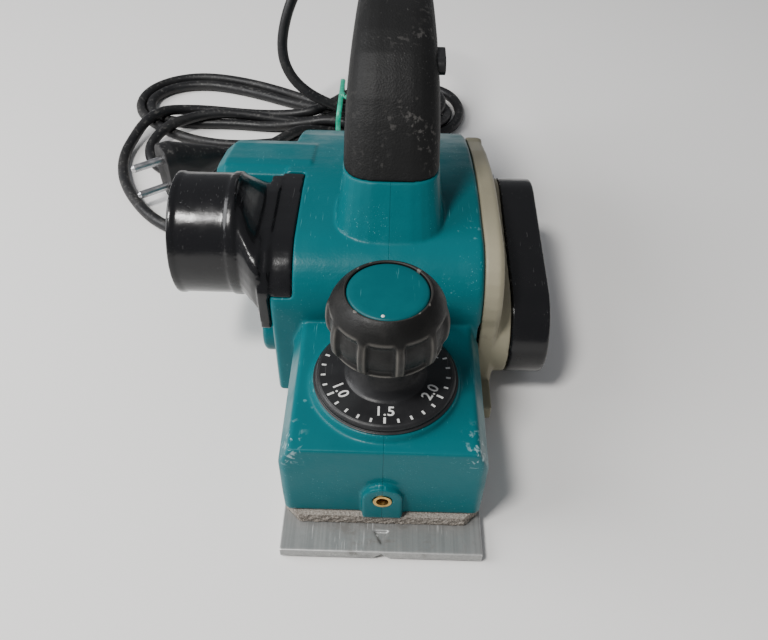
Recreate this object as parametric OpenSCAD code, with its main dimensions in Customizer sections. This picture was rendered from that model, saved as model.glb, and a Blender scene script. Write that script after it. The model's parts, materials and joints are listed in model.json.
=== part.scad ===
// Electric hand planer, 82 mm class. Millimetres, +Z up, front of the tool towards -Y.
// Origin: middle of the rear sole, on the plane that the work rests on.

/* [Sole] */
// Width of both soles
sole_w = 82.5; // [81:0.5:84]
// Length of the front shoe
shoe_len = 91.5; // [90:0.5:92]
// Thickness of the front shoe
shoe_t = 4.7; // [4.5:0.1:5]
// Length of the rear sole
rear_len = 157; // [155:1:158]
// Thickness of the rear sole
rear_t = 7; // [6.5:0.5:7]

/* [Depth setting] */
// Planing depth that the dial is set to
depth_now = 1.5; // [1.3:0.1:1.6]
// Radius of the depth dial
dial_r = 28.3; // [27:0.1:29]
// Largest radius of the front knob
knob_r = 23.5; // [23:0.1:24]
// Flutes around the knob
flutes = 10; // [8:1:12]

/* [Cutter] */
// Radius of the circle that the blade edges cut
cut_r = 26; // [25.8:0.1:26]
// Radius of the pulley on the cutter drum
drum_pulley_r = 10.8; // [10.4:0.1:11]
// Radius of the pulley on the motor
motor_pulley_r = 14; // [13.5:0.1:14.5]

/* [Chip nozzle] */
// Outer radius of the nozzle tube
nozzle_r = 27.2; // [26.8:0.1:27.2]
// Inner radius of the nozzle tube
nozzle_bore_r = 24.9; // [24.5:0.1:25]

/* [Cord] */
// Diameter of the mains cord
cord_d = 7; // [6.6:0.1:7.2]

/* [Hidden] */
$fn = 48;
eps = 0.01;
hull_fn = 32;

// Places along the tool, from the front of the shoe back
half_w = sole_w / 2;
front_y = -206;
shoe_back = front_y + shoe_len;
rear_front = -78;
hood_front = -191;
hood_back = -123;
hood_z0 = 12;
hood_top = 54;
shoe_top = depth_now + shoe_t;
wall = 2.5;
bulge_x = -51;
body_z0 = rear_t;
lobe_x = -86;
cover_x = 50;
belt_x0 = 56;
belt_x1 = 74;

// Shaft centres, [y, z]
drum_c = [-95.5, cut_r];
motor_c = [-28, 43];
nozzle_c = [-84, 71];
knob_y = -156;
drum_half = 41;

// Colours
teal = [0.05, 0.44, 0.48];
black = [0.09, 0.09, 0.09];
cream = [0.80, 0.78, 0.70];
alloy = [0.72, 0.73, 0.74];
steel = [0.58, 0.59, 0.61];
brass = [0.83, 0.66, 0.35];
copper = [0.72, 0.42, 0.22];
foam = [0.42, 0.38, 0.34];

// ---- helpers -------------------------------------------------------------------------------

function arc(c, r, a0, a1, n) =
    [for (i = [0:n]) let (a = a0 + (a1 - a0) * i / n) [c[0] + r * cos(a), c[1] + r * sin(a)]];

// Points of a loop round two circles, the front one first
function loop(c1, r1, c2, r2, n = 16) =
    let (d = c2 - c1, tilt = atan2(d[1], d[0]), lean = acos((r1 - r2) / norm(d)))
    concat(arc(c1, r1, tilt + lean, tilt + 360 - lean, n), arc(c2, r2, tilt - lean, tilt + lean, n));

// Extrudes a [y, z] outline along X
module along_x(x0, x1) {
    translate([x0, 0, 0]) rotate([90, 0, 90]) linear_extrude(x1 - x0) children();
}

module x_rod(x0, x1, c, r) {
    translate([x0, c[0], c[1]]) rotate([0, 90, 0]) cylinder(r = r, h = x1 - x0);
}

module x_cone(x0, x1, c, r0, r1) {
    translate([x0, c[0], c[1]]) rotate([0, 90, 0]) cylinder(r1 = r0, r2 = r1, h = x1 - x0);
}

module x_tube(x0, x1, c, r, bore) {
    difference() {
        x_rod(x0, x1, c, r);
        x_rod(x0 - 1, x1 + 1, c, bore);
    }
}

module block(x0, x1, y0, y1, z0, z1) {
    translate([x0, y0, z0]) cube([x1 - x0, y1 - y0, z1 - z0]);
}

module mirrored_x() {
    children();
    mirror([1, 0, 0]) children();
}

// Turns children about the X axis through c
module about(c, a) {
    translate([0, c[0], c[1]]) rotate([a, 0, 0]) children();
}

// Smooth curve through listed points of any dimension
function spline(p, i, t) =
    let (n = len(p) - 1, a = p[max(i - 1, 0)], b = p[i], c = p[min(i + 1, n)], d = p[min(i + 2, n)])
    0.5 * ((2 * b) + (c - a) * t + (2 * a - 5 * b + 4 * c - d) * t * t
           + (3 * b - a - 3 * c + d) * t * t * t);

function unit(v) = v / norm(v);

function route(p, per) = concat(
    [for (i = [0:len(p) - 2]) for (k = [0:per - 1]) spline(p, i, k / per)], [p[len(p) - 1]]);

// ---- handle ----------------------------------------------------------------------------------

// Each station: [outer y, outer z, inner y, inner z, half width]
HANDLE = route([
    [-118, 58, -66, 58, 29], [-112, 70, -65, 72, 26.5], [-106, 80, -63, 84, 24.5],
    [-98, 92, -60, 95, 22.5], [-90.5, 105, -55, 106, 21], [-84, 118, -47, 115, 20.8],
    [-74, 135, -37, 119, 20.2], [-60, 148, -27, 120, 19.4], [-36, 156.5, -18, 120.5, 18.4],
    [-8, 159, -4, 120.5, 17.6], [20, 156.5, 12, 119, 17.2], [44, 146, 25, 113, 17],
    [61, 129, 33, 102, 17.4], [71, 108, 38, 88, 18.4], [76, 84, 36, 72, 19.8],
    [77, 60, 28, 56, 21], [76, 36, 18, 38, 21.5]
], 2);
GRIP_FIRST = 8;
GRIP_LAST = 24;
grip_t = 2.4;
section_n = 28;
squareness = 3.2;

function bulge(v) = sign(v) * pow(abs(v), 2 / squareness);

// One ring of a handle section, pulled in by d
function ring(s, d) =
    let (o = [s[0], s[1]], i = [s[2], s[3]], m = (o + i) / 2, h = (o - i) / 2,
         k = (norm(h) - d) / norm(h), w = s[4] - d)
    [for (j = [0:section_n - 1]) let (a = 360 * j / section_n, q = bulge(sin(a)) * k)
        [w * bulge(cos(a)), m[0] + h[0] * q, m[1] + h[1] * q]];

module sweep(rings) {
    n = len(rings[0]);
    last = len(rings) - 1;
    points = [for (r = rings) for (p = r) p];
    sides = [for (i = [0:last - 1]) for (j = [0:n - 1]) for (t = [0, 1])
        let (a = i * n + j, b = i * n + (j + 1) % n)
        t == 0 ? [a, b, b + n] : [a, b + n, a + n]];
    caps = [[for (j = [n - 1:-1:0]) j], [for (j = [0:n - 1]) last * n + j]];
    polyhedron(points = points, faces = concat(sides, caps), convexity = 6);
}

// The plastic core: full size outside the grip, pulled in under it
module handle_core() {
    n = len(HANDLE);
    sweep([for (i = [0:n - 1]) for (step = [0, 1])
        let (inside = i > GRIP_FIRST && i < GRIP_LAST,
             edge = i == GRIP_FIRST || i == GRIP_LAST,
             d = inside ? grip_t : edge && step == (i == GRIP_FIRST ? 1 : 0) ? grip_t : 0)
        if (edge || step == 0) ring(slide_station(i, edge ? step : 0), d)]);
}

// Edge stations are doubled a hair apart, so the step is a face
function slide_station(i, step) =
    step == 0 ? HANDLE[i] : HANDLE[i] + 0.02 * (HANDLE[i + 1] - HANDLE[i]);

module handle_hollow() {
    sweep([for (i = [4:26]) ring(HANDLE[i], grip_t + wall)]);
}

module grip_shell() {
    difference() {
        sweep([for (i = [GRIP_FIRST:GRIP_LAST])
            ring(i == GRIP_FIRST ? slide_station(i, 1) : HANDLE[i], 0)]);
        sweep([for (i = [GRIP_FIRST - 1:GRIP_LAST + 1]) ring(HANDLE[i], grip_t)]);
        trigger_window();
        button_window();
    }
}

// ---- housing ---------------------------------------------------------------------------------

body_turn = [-97, 58];
body_turn_r = 26;

body_top = route([[-84, 84], [-66, 83.6], [-50, 82], [-35, 79], [-11, 73], [19, 62], [45, 47],
                  [62, 32], [72, 18], [76, 7]], 3);

// Side outline of the main body, pulled in by d
function body_outline(d = 0, floor_z = body_z0) = concat(
    [[hood_back + d, floor_z]],
    arc(body_turn, body_turn_r - d, 180, 90, 14),
    [for (i = [1:len(body_top) - 1]) let (p = body_top[i], t = unit(p - body_top[i - 1]))
        if (p[1] - d * t[0] > floor_z + 1) [p[0] + d * t[1], p[1] - d * t[0]]],
    [[76 - d, floor_z]]);

// Edges are rounded in small steps
module body_outer() {
    for (l = [[bulge_x, half_w, 2], [bulge_x + 0.6, half_w - 0.6, 0.8],
              [bulge_x + 1.6, half_w - 1.6, 0]])
        along_x(l[0], l[1]) polygon(body_outline(l[2]));
}

// Plan outline with chamfered front corners, and front outline that leans in above the shoulder
module hood_outer() {
    w = half_w;
    c = 4;
    shoulder = 43;
    intersection() {
        translate([0, 0, hood_z0]) linear_extrude(hood_top - hood_z0) polygon([
            [-w, hood_front + c], [-w + 0.8, hood_front + 1.6], [-w + c - 1, hood_front],
            [w - c + 1, hood_front], [w - 0.8, hood_front + 1.6], [w, hood_front + c],
            [w, hood_back + 4], [-w, hood_back + 4]]);
        translate([0, hood_back + 5, 0]) rotate([90, 0, 0]) linear_extrude(80) polygon([
            [-w + 0.9, hood_z0 - 1], [w - 0.9, hood_z0 - 1], [w, shoulder - 2], [w - 0.4, shoulder],
            [w - 4.6, hood_top - 0.8], [w - 6, hood_top], [-w + 6, hood_top],
            [-w + 4.6, hood_top - 0.8], [-w + 0.4, shoulder], [-w, shoulder - 2]]);
    }
}

pad_z = hood_top + 3.2;

function lobe_outline() = concat(
    arc(motor_c, 31, 270, 200, 8),
    [[-57, 40], [-50, 47], [-50, 74], [-48, 78.5], [-43, 80.9], [-37, 80.4], [-14, 74.6], [-4, 70],
     [1, 61]],
    arc(motor_c, 31, 22, -90, 12));

module lobe_outer() {
    along_x(lobe_x + 5, bulge_x + 12) polygon(lobe_outline());
    translate([lobe_x + 5.01, motor_c[0], motor_c[1]]) rotate([90, 0, -90])
        linear_extrude(5.01, scale = 0.88) mirror([1, 0, 0])
            translate(-motor_c) polygon(lobe_outline());
}

boss_r = 14;
boss_x = -59;
front_boss_z = 25;
front_boss_r = 8.2;
brush_x = -59;
brush_dirs = [35, 215];

// Screw posts: [y, z, x of the screw head's seat, reach to the left]
POSTS = [[-182, 36, -38, 40], [44, 28, -47, 39], [56, 74, -16, 17], [-78, 98, -16, 19],
         [-60, 131, -12, 15]];
post_r = 4.5;

module posts() {
    for (p = POSTS) x_rod(p[2] - 2, p[3], [p[0], p[1]], post_r);
}

module housing_solid() {
    hood_outer();
    translate([0, knob_y, hood_top - eps]) cylinder(r1 = 31, r2 = 29.6, h = pad_z - hood_top + eps);
    body_outer();
    lobe_outer();
    x_cone(boss_x, boss_x + 1.5, drum_c, boss_r - 1.5, boss_r);
    x_rod(boss_x + 1.5, bulge_x + 3, drum_c, boss_r);
    handle_core();
    translate([0, hood_front + 1, front_boss_z]) rotate([90, 0, 0]) {
        cylinder(r = front_boss_r, h = 4);
        translate([-front_boss_r, hood_z0 - front_boss_z, 0])
            cube([2 * front_boss_r, front_boss_z - hood_z0, 4]);
    }
}

module housing_hollow() {
    // Hood, main body and motor lobe
    translate([0, hood_back + 8, 0]) rotate([90, 0, 0])
        linear_extrude(hood_back + 8 - hood_front - wall) polygon([
            [-half_w + wall, hood_z0 - 2], [half_w - wall, hood_z0 - 2], [half_w - wall, 42],
            [half_w - wall - 4.6, hood_top - wall], [-half_w + wall + 4.6, hood_top - wall],
            [-half_w + wall, 42]]);
    along_x(bulge_x + wall, half_w - wall) polygon(body_outline(wall, 9.5));
    x_rod(lobe_x + wall, bulge_x + 4, motor_c, 19);
    x_rod(boss_x + 1.8, bulge_x + 3, drum_c, 11.4);
    // Open underside over the sole, the shoe and the drum
    block(-half_w - 0.1, half_w - wall, hood_back + wall, -69, 0, 12);
    block(-half_w - 1, half_w + 1, hood_back - 1, hood_back + wall + 1, 0, 8.6);
    block(-half_w + 3, half_w - 3, rear_front - 3, 66, 0, 12);
    // Left wall, open behind the side cover
    block(half_w - wall - 1, half_w + 1, hood_back + 1, -58, 0, 53);
    x_rod(half_w - wall - 1, half_w + 1, motor_c, 14.3);
    // Handle
    handle_hollow();
    // Screw of the depth knob
    translate([0, knob_y, 40]) cylinder(r = 7, h = 30);
    // Brushes
    for (a = brush_dirs) about(motor_c, a)
        translate([brush_x, 0, 0]) rotate([-90, 0, 0]) cylinder(r = 7.3, h = 40);
    // Air slots in the end of the motor lobe
    for (i = [-3:3]) block(lobe_x - 1, lobe_x + 5, motor_c[0] + 5 * i - 1.2,
                           motor_c[0] + 5 * i + 1.2, motor_c[1] - 12, motor_c[1] + 12);
    // Chip outlet, where the nozzle's shoulder sits
    along_x(bulge_x - 1, -half_w + 0.25) difference() {
        polygon([[hood_back - 1, 66], [hood_back - 1, 90], [-50, 90], [-50, 66]]);
        polygon(body_outline(3.7));
    }
    block(bulge_x - 1, bulge_x + 6, -112, -60, 55, 81);
    trigger_window();
    x_rod(-10.1, 10.1, trigger_pivot, 1.55);
    button_window();
    // Cord guard
    about(cord_exit, cord_tilt) translate([0, -10, 0]) rotate([-90, 0, 0]) cylinder(r = 6, h = 30);
    // Front insert
    translate([0, hood_front - 5, front_boss_z]) rotate([-90, 0, 0]) cylinder(r = 3.7, h = 16);
}

module bearing_pocket() {
    // Holds the bearing at the commutator end
    x_tube(lobe_x + wall - eps, lobe_x + wall + 9, motor_c, 14, 11);
}

module insert_column() {
    difference() {
        translate([0, hood_front + 1, front_boss_z]) rotate([-90, 0, 0]) cylinder(r = 6.5, h = 12);
        translate([0, hood_front - 5, front_boss_z]) rotate([-90, 0, 0]) cylinder(r = 3.7, h = 16);
    }
}

module screw_holes() {
    for (p = POSTS) {
        x_rod(p[2] - 1, 14, [p[0], p[1]], 2);
        x_rod(-70, p[2], [p[0], p[1]], 4.1);
    }
}

module housing_whole() {
    difference() {
        union() {
            difference() {
                housing_solid();
                housing_hollow();
            }
            posts();
            bearing_pocket();
            insert_column();
        }
        screw_holes();
    }
}

module housing_left() {
    color(teal) intersection() {
        housing_whole();
        block(0, 120, -230, 120, 0, 200);
    }
}

module housing_right() {
    color(teal) intersection() {
        housing_whole();
        block(-120, 0, -230, 120, 0, 200);
    }
}

module grip_left() {
    color(black) intersection() {
        grip_shell();
        block(0, 60, -230, 120, 0, 200);
    }
}

module grip_right() {
    color(black) intersection() {
        grip_shell();
        block(-60, 0, -230, 120, 0, 200);
    }
}

module housing_screws() {
    color(steel) for (p = POSTS) {
        x_rod(p[2] - 3, p[2], [p[0], p[1]], 3.9);
        x_rod(p[2], 13, [p[0], p[1]], 2);
    }
}

// ---- depth knob ------------------------------------------------------------------------------

dial_z0 = pad_z + 0.3;
dial_z1 = dial_z0 + 2.9;
neck_r = 12.5;
grip_z0 = 79;
cap_z = 105;
screw_r = 5;

module at_knob() {
    translate([0, knob_y, 0]) children();
}

module depth_dial() {
    color(black) at_knob() difference() {
        rotate_extrude($fn = 96) polygon(concat(
            [[screw_r, dial_z0], [dial_r - 0.6, dial_z0], [dial_r, dial_z0 + 0.6],
             [dial_r, dial_z1 - 0.9], [dial_r - 1.2, dial_z1], [17, dial_z1]],
            arc([17, dial_z1 + 8], 8, 270, 192, 6),
            [[neck_r - 3.5, grip_z0 - 4], [neck_r - 3.5, grip_z0], [screw_r, grip_z0]]));
    }
}

module knob_grip() {
    flute_r = 13;
    color(black) at_knob() difference() {
        rotate_extrude($fn = 96) polygon(concat(
            [[9.2, grip_z0 - 3.5], [17, grip_z0 - 1], [knob_r - 3.6, grip_z0 + 1]],
            arc([knob_r - 4, grip_z0 + 6], 4, 295, 360, 4),
            [[knob_r, grip_z0 + 12]],
            arc([knob_r - 7, grip_z0 + 18], 7, 12, 78, 6),
            [[16.4, cap_z], [15.5, cap_z - 0.8], [15.5, cap_z - 3], [9.2, cap_z - 3]]));
        for (i = [0:flutes - 1]) rotate(360 / flutes * (i + 0.65))
            translate([knob_r + flute_r - 1.7, 0, grip_z0 - 5]) cylinder(r = flute_r, h = 22);
    }
}

module knob_cap() {
    color(teal) at_knob() {
        translate([0, 0, cap_z - 3]) cylinder(r = 15.4, h = 2.2);
        translate([0, 0, cap_z - 0.8]) cylinder(r1 = 15.4, r2 = 14.8, h = 0.6);
    }
}

module depth_screw() {
    color(steel) at_knob() {
        translate([0, 0, 13]) cylinder(r = screw_r, h = cap_z - 10 - 13);
        translate([0, 0, grip_z0]) cylinder(r = 9.1, h = cap_z - 4 - grip_z0);
    }
}

spring_z0 = 26;
bridge_z0 = 42;

module depth_spring() {
    turns = 4;
    steps = 12 * turns;
    wire = 0.9;
    rise = bridge_z0 - spring_z0 - 2 * wire - 0.2;
    color(steel) at_knob() sweep(tube_rings(
        [for (i = [0:steps]) let (a = 30 * i)
            [8 * cos(a), 8 * sin(a), spring_z0 + wire + 0.1 + rise * i / steps]], wire, 6));
}

module guide_bridge() {
    color(alloy) difference() {
        block(-34, 34, -172, -127, bridge_z0, hood_top - wall);
        at_knob() translate([0, 0, 30]) cylinder(r = screw_r + 0.08, h = 30);
        mirrored_x() translate([26, -140, 30]) cylinder(r = 5.08, h = 30);
    }
}

module shoe_guides() {
    color(steel) mirrored_x() translate([26, -140, shoe_top]) cylinder(r = 5, h = 49.5 - shoe_top);
}

module front_shoe() {
    color(alloy) difference() {
        union() {
            block(-half_w, half_w, front_y, shoe_back, depth_now, shoe_top);
            at_knob() translate([0, 0, shoe_top - 1]) cylinder(r = 13, h = spring_z0 - shoe_top + 1);
            block(-2, 2, knob_y + 8, -134, shoe_top - 1, 14);
        }
        // Groove for chamfering an edge, along the whole underside
        translate([0, front_y - 1, depth_now]) rotate([-90, 0, 0]) linear_extrude(shoe_len + 2)
            polygon([[-3.4, 0.1], [3.4, 0.1], [0, -3.3]]);
        // Arrowhead at the front edge
        translate([0, 0, shoe_top - 0.8]) linear_extrude(2)
            polygon([[-3.3, front_y + 9.8], [3.3, front_y + 9.8], [0, front_y + 3.4]]);
        at_knob() translate([0, 0, 11]) cylinder(r = screw_r + 0.08, h = 20);
    }
}

module foam_seal() {
    w = half_w - 1;
    bevel = 6;
    color(foam) translate([0, 0, shoe_top]) linear_extrude(hood_z0 - shoe_top) difference() {
        polygon([[-w, hood_front + bevel - 2], [-w + bevel, hood_front - 2],
                 [w - bevel, hood_front - 2], [w, hood_front + bevel - 2],
                 [w, -126], [-w, -126]]);
        polygon([[-w + 7, hood_front + 6], [w - 7, hood_front + 6], [w - 7, -132], [-w + 7, -132]]);
    }
}

module front_insert() {
    color(brass) translate([0, hood_front - 3.2, front_boss_z]) rotate([-90, 0, 0]) difference() {
        cylinder(r = 3.7, h = 14);
        translate([0, 0, -1]) cylinder(r = 2.5, h = 10);
    }
}

// ---- frame and cutter ------------------------------------------------------------------------

cheek_in = 42;
cheek_out = 47;
cheek_top = 44;

module main_frame() {
    color(alloy) difference() {
        union() {
            block(-half_w, half_w, rear_front, rear_front + rear_len, 0, rear_t);
            mirrored_x() {
                block(34, 38, rear_front, 50, rear_t - eps, 11);
                block(34, cheek_out, rear_front + 2, -62, 9.8, 15);
                block(cheek_in, cheek_out, -117, -62, 9.8, cheek_top);
            }
        }
        // The front edge follows the cutter
        x_rod(-cheek_in, cheek_in, drum_c, cut_r + 1.5);
        x_rod(cheek_in - 1, 60, drum_c, 14);
        x_rod(-60, -cheek_in + 1, drum_c, 11);
    }
}

module chip_guard() {
    inner = cut_r + 1.8;
    color(black) difference() {
        along_x(-38, 38) polygon(concat(
            arc(drum_c, inner, 38, 142, 14), arc(drum_c, inner + 2, 142, 38, 14)));
        block(-39, -6, -112, -76, 40, 60);
    }
}

blade_rest = 70;
slot_floor = 15.5;

// Repeats children for both blades; +Z points out of the slot
module each_blade() {
    for (k = [0, 1]) about(drum_c, blade_rest + 180 * k) children();
}

module cutter_drum() {
    color(alloy) difference() {
        union() {
            x_rod(-drum_half, drum_half, drum_c, cut_r - 1.2);
            x_rod(-55, -drum_half + 1, drum_c, 4);
            x_rod(drum_half - 1, belt_x0, drum_c, 6);
            x_rod(belt_x0 - 1, 70, drum_c, 5);
        }
        each_blade() {
            block(-drum_half - 1, drum_half + 1, -9, 2.5, slot_floor, 30);
            for (x = [-27, 0, 27]) translate([x, -4, 8]) cylinder(r = 2.5, h = 20);
        }
    }
}

module drum_blades() {
    color(steel) each_blade() difference() {
        block(-drum_half, drum_half, 1.35, 2.45, 18.5, cut_r);
        // Ground edge
        translate([-50, 1.35, cut_r]) rotate([-55, 0, 0]) block(0, 100, -3, 0, -3, 3);
    }
}

module blade_clamps() {
    color(steel) each_blade() difference() {
        block(-drum_half + 1, drum_half - 1, -8.9, 1.3, slot_floor, 21.2);
        for (x = [-27, 0, 27]) translate([x, -4, 8]) {
            cylinder(r = 2.6, h = 20);
            translate([0, 0, 11]) cylinder(r = 3.9, h = 10);
        }
    }
}

module clamp_bolts() {
    color(steel) each_blade() for (x = [-27, 0, 27]) translate([x, -4, 0]) {
        translate([0, 0, 9]) cylinder(r = 2.5, h = 10.2);
        translate([0, 0, 19.1]) difference() {
            cylinder(r = 3.8, h = 2);
            translate([0, 0, 0.8]) cylinder(r = 1.8, h = 3, $fn = 6);
        }
    }
}

module ball_bearing(x0, x1, c, r, bore) {
    x_tube(x0, x1, c, r, r - 2.2);
    x_tube(x0, x1, c, bore + 1.8, bore + 0.04);
    x_tube(x0 + 0.6, x1 - 0.6, c, r - 2.2, bore + 1.8);
}

module drum_bearings() {
    color(steel) {
        ball_bearing(-49, -cheek_in, drum_c, 11, 4);
        ball_bearing(cheek_in, 50, drum_c, 14, 6);
    }
}

module pulley(x0, x1, c, r, bore) {
    grooves = 4;
    pitch = (x1 - x0 - 2) / grooves;
    difference() {
        x_rod(x0, x1, c, r);
        x_rod(x0 - 1, x1 + 1, c, bore);
        for (i = [0:grooves - 1]) translate([x0 + 1 + pitch * (i + 0.5), c[0], c[1]])
            rotate([0, 90, 0]) rotate_extrude() polygon([[r - 1.4, 0], [r + 1, -1.5], [r + 1, 1.5]]);
    }
}

module drum_pulley() {
    color(steel) pulley(58, 69, drum_c, drum_pulley_r, 5);
}

module motor_pulley() {
    color(steel) pulley(58, 69, motor_c, motor_pulley_r, 4.5);
}

module drive_belt() {
    gap = 0.12;
    thick = 2.4;
    color(black) along_x(59, 68) difference() {
        polygon(loop(drum_c, drum_pulley_r + gap + thick, motor_c, motor_pulley_r + gap + thick, 24));
        polygon(loop(drum_c, drum_pulley_r + gap, motor_c, motor_pulley_r + gap, 24));
    }
}

// ---- covers ----------------------------------------------------------------------------------

cover_front = [-97, 32];
cover_rear = [-30, 34];
cover_front_r = 24;
cover_rear_r = 28;

function cover_loop(d = 0) = loop(cover_front, cover_front_r - d, cover_rear, cover_rear_r - d, 32);

module belt_cover() {
    posts_y = [-72, -52];
    color(black) difference() {
        union() {
            difference() {
                union() {
                    along_x(belt_x0 + 0.2, belt_x1 - 1) polygon(cover_loop());
                    along_x(belt_x1 - 1.01, belt_x1 - 0.3) polygon(cover_loop(0.3));
                    along_x(belt_x1 - 0.31, belt_x1) polygon(cover_loop(1));
                }
                along_x(belt_x0 - 1, belt_x1 - 2.2) polygon(cover_loop(2.2));
            }
        }
        for (y = posts_y) {
            x_rod(belt_x0, belt_x1 + 1, [y, 33], 2.2);
            x_rod(belt_x1 - 1.2, belt_x1 + 1, [y, 33], 4.1);
        }
    }
}

module cover_screws() {
    color(steel) for (y = [-72, -52]) {
        x_rod(belt_x1 - 1.2, belt_x1 + 0.9, [y, 33], 4);
        x_rod(52, belt_x1 - 1.2, [y, 33], 2);
    }
}

SIDE_SCREWS = [[-106, 64], [-40, 72], [12, 50], [12, 18]];

function side_outline(d = 0) = concat(
    arc(body_turn, body_turn_r - 1.2 - d, 196, 90, 8),
    [[-66, 82.8 - d], [-50, 81.3 - d], [-35, 78.3 - d], [-11, 71.8 - d], [10, 64 - d]],
    arc([12 - d, 52], 11.5, 70, 0, 4),
    arc([12 - d, 20 + d], 11.5, 0, -90, 4),
    [[-120.8 + d, 8.5 + d]]);

module side_cover() {
    x0 = half_w + 0.1;
    color(cream) difference() {
        union() {
            along_x(x0, cover_x - 2) polygon(side_outline());
            along_x(cover_x - 2.01, cover_x - 0.6) polygon(side_outline(0.7));
            along_x(cover_x - 0.61, cover_x) polygon(side_outline(1.8));
            along_x(cover_x - 1.5, belt_x0) polygon(cover_loop());
            // Lip in front of the cutter, low on the side
            block(x0, cover_x - 1, -139, -110, 9, 17);
        }
        // Space for the cheek, the bearings and the shafts
        block(x0 - 1, cheek_out + 0.3, -117.5, -61.5, 8, cheek_top + 0.5);
        x_rod(x0 - 1, 52, drum_c, 14.2);
        x_rod(x0 - 1, 44.5, motor_c, 14);
        x_rod(x0, belt_x0 + 1, drum_c, 9);
        x_rod(x0, belt_x0 + 1, motor_c, 8);
        along_x(51.5, belt_x0 + 1) difference() {
            polygon(cover_loop(2.2));
            for (y = [-72, -52]) translate([y, 33]) circle(r = 4.5);
        }
        for (y = [-72, -52]) x_rod(52, 60, [y, 33], 2);
        for (p = SIDE_SCREWS) {
            x_rod(x0 - 1, cover_x + 1, p, 2);
            x_rod(cover_x - 1.5, cover_x + 7, p, 4.1);
        }
    }
}

module side_screws() {
    color(steel) for (p = SIDE_SCREWS) {
        x_rod(cover_x - 1.5, cover_x + 0.8, p, 4);
        x_rod(half_w + 0.1, cover_x - 1.5, p, 2);
    }
}

nozzle_end = -95;
throat_x = -67;
flange_x = -56;

// The shoulder is a strip that follows the body's top, from the arc's start to the motor lobe
module nozzle_shoulder() {
    along_x(bulge_x - 0.3, -half_w) difference() {
        intersection() {
            polygon(body_outline(0.4));
            polygon([[hood_back - 1, 66.3], [hood_back - 1, 90], [-50.3, 90], [-50.3, 66.3]]);
        }
        polygon(body_outline(3.4));
    }
}

// Outline of the throat where it meets the flange, drawn out to a point low in front
function throat_end(a, d) =
    let (c = [-86, 67], w = 34 - d, h = 17.5 - d, tip = max(0, 1 - abs(a - 207) / 26))
    c + [w * pull(cos(a)), h * pull(sin(a))] + tip * tip * [-1.5, -4];

function pull(v) = sign(v) * pow(abs(v), 0.62);

// Ring j of the throat, from the tube (t = 0) to the flange (t = 1)
function throat_ring(t, d) =
    let (e = t * t * (3 - 2 * t), x = throat_x + (flange_x + 1 - throat_x) * t, n = 32)
    [for (j = [0:n - 1]) let (a = 360 * j / n,
        p = (1 - e) * (nozzle_c + (nozzle_r - 0.2 - d) * [cos(a), sin(a)]) + e * throat_end(a, d))
        [x, p[0], p[1]]];

module throat(d) {
    sweep([for (i = [6:-1:0]) throat_ring(i / 6, d)]);
}

module chip_nozzle() {
    color(black) difference() {
        union() {
            x_rod(nozzle_end, throat_x + 0.5, nozzle_c, nozzle_r);
            x_rod(nozzle_end, nozzle_end + 2.5, nozzle_c, nozzle_r + 0.5);
            x_rod(throat_x - 2.5, throat_x + 1, nozzle_c, nozzle_r + 0.8);
            throat(0);
            along_x(flange_x, bulge_x - 0.2) polygon([
                [-121, 46.5], [-119, 47], [-100, 52], [-53, 52], [-51.5, 54], [-51.5, 80], [-54, 82.5],
                [-70, 84.6], [-97, 84.6], [-109, 82], [-117, 76.5], [-121.5, 68]]);
            nozzle_shoulder();
        }
        x_rod(nozzle_end - 1, throat_x + 0.5, nozzle_c, nozzle_bore_r);
        throat(2.4);
        block(flange_x, -40, -110, -64, 57, 79);
        for (p = NOZZLE_SCREWS) {
            x_rod(flange_x - 1, -40, p, 2);
            x_rod(flange_x - 20, flange_x + 1.5, p, 4.1);
        }
    }
}

NOZZLE_SCREWS = [[-115, 54.5], [-56.5, 57]];

module nozzle_screws() {
    color(steel) for (p = NOZZLE_SCREWS) {
        x_rod(flange_x - 0.8, flange_x + 1.5, p, 4);
        x_rod(flange_x + 1.5, bulge_x - 0.2, p, 2);
    }
}

// ---- motor -----------------------------------------------------------------------------------

core_x0 = -38;
core_x1 = 8;

module armature_shaft() {
    color(steel) {
        x_rod(-83, -70, motor_c, 4);
        x_rod(-70, 34, motor_c, 5);
        x_rod(34, 56, motor_c, 6);
        x_rod(56, 70, motor_c, 4.5);
    }
}

module armature_core() {
    slots = 12;
    color(steel) difference() {
        x_rod(core_x0, core_x1, motor_c, 18);
        x_rod(core_x0 - 1, core_x1 + 1, motor_c, 5);
        for (i = [0:slots - 1]) about(motor_c, 360 / slots * i)
            block(core_x0 - 1, core_x1 + 1, -1, 1, 10, 20);
    }
}

module armature_windings() {
    color(copper) {
        x_tube(core_x0 - 8, core_x0, motor_c, 16, 5);
        x_tube(core_x1, core_x1 + 7, motor_c, 16, 5);
    }
}

module commutator() {
    bars = 24;
    color(copper) difference() {
        x_rod(-68, -48, motor_c, 12);
        x_rod(-69, -47, motor_c, 5);
        for (i = [0:bars - 1]) about(motor_c, 360 / bars * i) block(-69, -50, -0.3, 0.3, 11.2, 13);
    }
}

module cooling_fan() {
    blades = 11;
    color(black) difference() {
        union() {
            x_rod(26, 28, motor_c, 29);
            x_rod(17, 27, motor_c, 9);
            for (i = [0:blades - 1]) about(motor_c, 360 / blades * i)
                block(18, 27, -0.8, 0.8, 8, 28.5);
        }
        x_rod(16, 29, motor_c, 5);
    }
}

module fan_baffle() {
    color(black) x_tube(15.4, 17, motor_c, 31, 22);
}

module field_core() {
    color(steel) difference() {
        x_rod(core_x0, core_x1, motor_c, 31);
        x_rod(core_x0 - 1, core_x1 + 1, motor_c, 18.7);
        about(motor_c, 0) for (s = [-31, 31])
            block(core_x0 - 1, core_x1 + 1, s - 2, s + 2, -40, 40);
    }
}

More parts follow.
